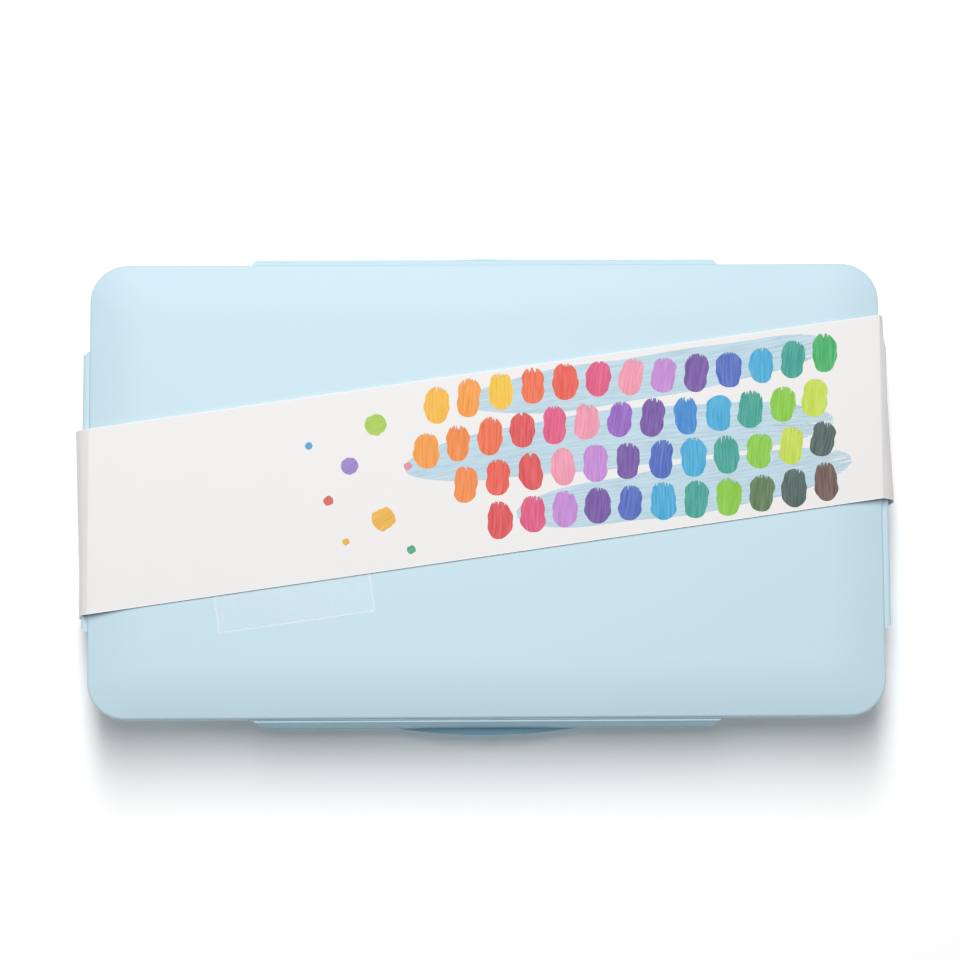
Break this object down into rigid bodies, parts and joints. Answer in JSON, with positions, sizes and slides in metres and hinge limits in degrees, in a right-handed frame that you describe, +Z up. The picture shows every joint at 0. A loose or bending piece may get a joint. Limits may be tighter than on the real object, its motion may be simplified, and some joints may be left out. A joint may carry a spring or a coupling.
{
  "type": "gouache paint set box",
  "caption": "Flat plastic paint box with a snap-down flapped lid, a slanted paper band round it, and a rack of twin paint cups and a brush inside.",
  "frame": {"origin": "middle of the box on the surface it rests on", "axes": "+X along the box to the right, +Y to the back, +Z up"},
  "size_m": [0.2876, 0.169, 0.038],
  "materials": {
    "tub_plastic": "satin pale blue polypropylene",
    "rack_plastic": "satin pale blue polypropylene",
    "lid_plastic": "satin pale blue polypropylene",
    "cup_plastic": "clear moulded plastic over two fills of paint",
    "brush_hair": "white flat brush hair",
    "brush_ferrule": "bright pressed aluminium",
    "brush_handle": "clear pale aqua acrylic",
    "band_card": "smooth white printed card"
  },
  "bodies": {
    "base": {"base_tub": "tub_plastic", "cup_rack": "rack_plastic", "twin_cup_front_1": "cup_plastic", "twin_cup_front_2": "cup_plastic", "twin_cup_front_3": "cup_plastic", "twin_cup_front_4": "cup_plastic", "twin_cup_front_5": "cup_plastic", "twin_cup_front_6": "cup_plastic", "twin_cup_middle_1": "cup_plastic", "twin_cup_middle_2": "cup_plastic", "twin_cup_middle_3": "cup_plastic", "twin_cup_middle_4": "cup_plastic", "twin_cup_middle_5": "cup_plastic", "twin_cup_middle_6": "cup_plastic", "twin_cup_back_1": "cup_plastic", "twin_cup_back_2": "cup_plastic", "twin_cup_back_3": "cup_plastic", "twin_cup_back_4": "cup_plastic", "twin_cup_back_5": "cup_plastic", "twin_cup_back_6": "cup_plastic", "brush_bristles": "brush_hair", "brush_ferrule": "brush_ferrule", "brush_handle": "brush_handle"},
    "lid": {"lid_plate": "lid_plastic"},
    "front_flap": {"flap_front": "lid_plastic"},
    "back_flap": {"flap_back": "lid_plastic"},
    "left_flap": {"flap_left": "lid_plastic"},
    "right_flap": {"flap_right": "lid_plastic"},
    "band": {"band_top": "band_card"},
    "band_left_side": {"band_left": "band_card"},
    "band_right_side": {"band_right": "band_card"},
    "band_foot": {"band_bottom": "band_card"}
  },
  "joints": [
    {"name": "lid_lift", "type": "slide", "parent": "base", "child": "lid", "axis": [0, 0, 1], "range_m": [0, 0.12]},
    {"name": "front_flap_swing", "type": "hinge", "parent": "lid", "child": "front_flap", "pos_m": [0, -0.08055, 0.03465], "axis": [-1, 0, 0], "range_deg": [0, 90]},
    {"name": "back_flap_swing", "type": "hinge", "parent": "lid", "child": "back_flap", "pos_m": [0, 0.08055, 0.03465], "axis": [1, 0, 0], "range_deg": [0, 90]},
    {"name": "left_flap_swing", "type": "hinge", "parent": "lid", "child": "left_flap", "pos_m": [-0.13905, 0, 0.03465], "axis": [0, 1, 0], "range_deg": [0, 90]},
    {"name": "right_flap_swing", "type": "hinge", "parent": "lid", "child": "right_flap", "pos_m": [0.13905, 0, 0.03465], "axis": [0, -1, 0], "range_deg": [0, 90]},
    {"name": "band_slide", "type": "slide", "parent": "lid", "child": "band", "axis": [0, -1, 0], "range_m": [-0.14, 0.16]},
    {"name": "band_left_fold", "type": "hinge", "parent": "band", "child": "band_left_side", "pos_m": [-0.1391, 0, 0.0376], "axis": [0, 1, 0], "range_deg": [0, 90]},
    {"name": "band_right_fold", "type": "hinge", "parent": "band", "child": "band_right_side", "pos_m": [0.1391, 0, 0.0376], "axis": [0, -1, 0], "range_deg": [0, 90]},
    {"name": "band_foot_slide", "type": "slide", "parent": "base", "child": "band_foot", "axis": [0, -1, 0], "range_m": [-0.14, 0.16]}
  ],
  "couplings": [
    {"joint": "band_foot_slide", "follows": "band_slide", "ratio": 1},
    {"joint": "band_left_fold", "follows": "left_flap_swing", "ratio": 1},
    {"joint": "band_right_fold", "follows": "right_flap_swing", "ratio": 1}
  ]
}
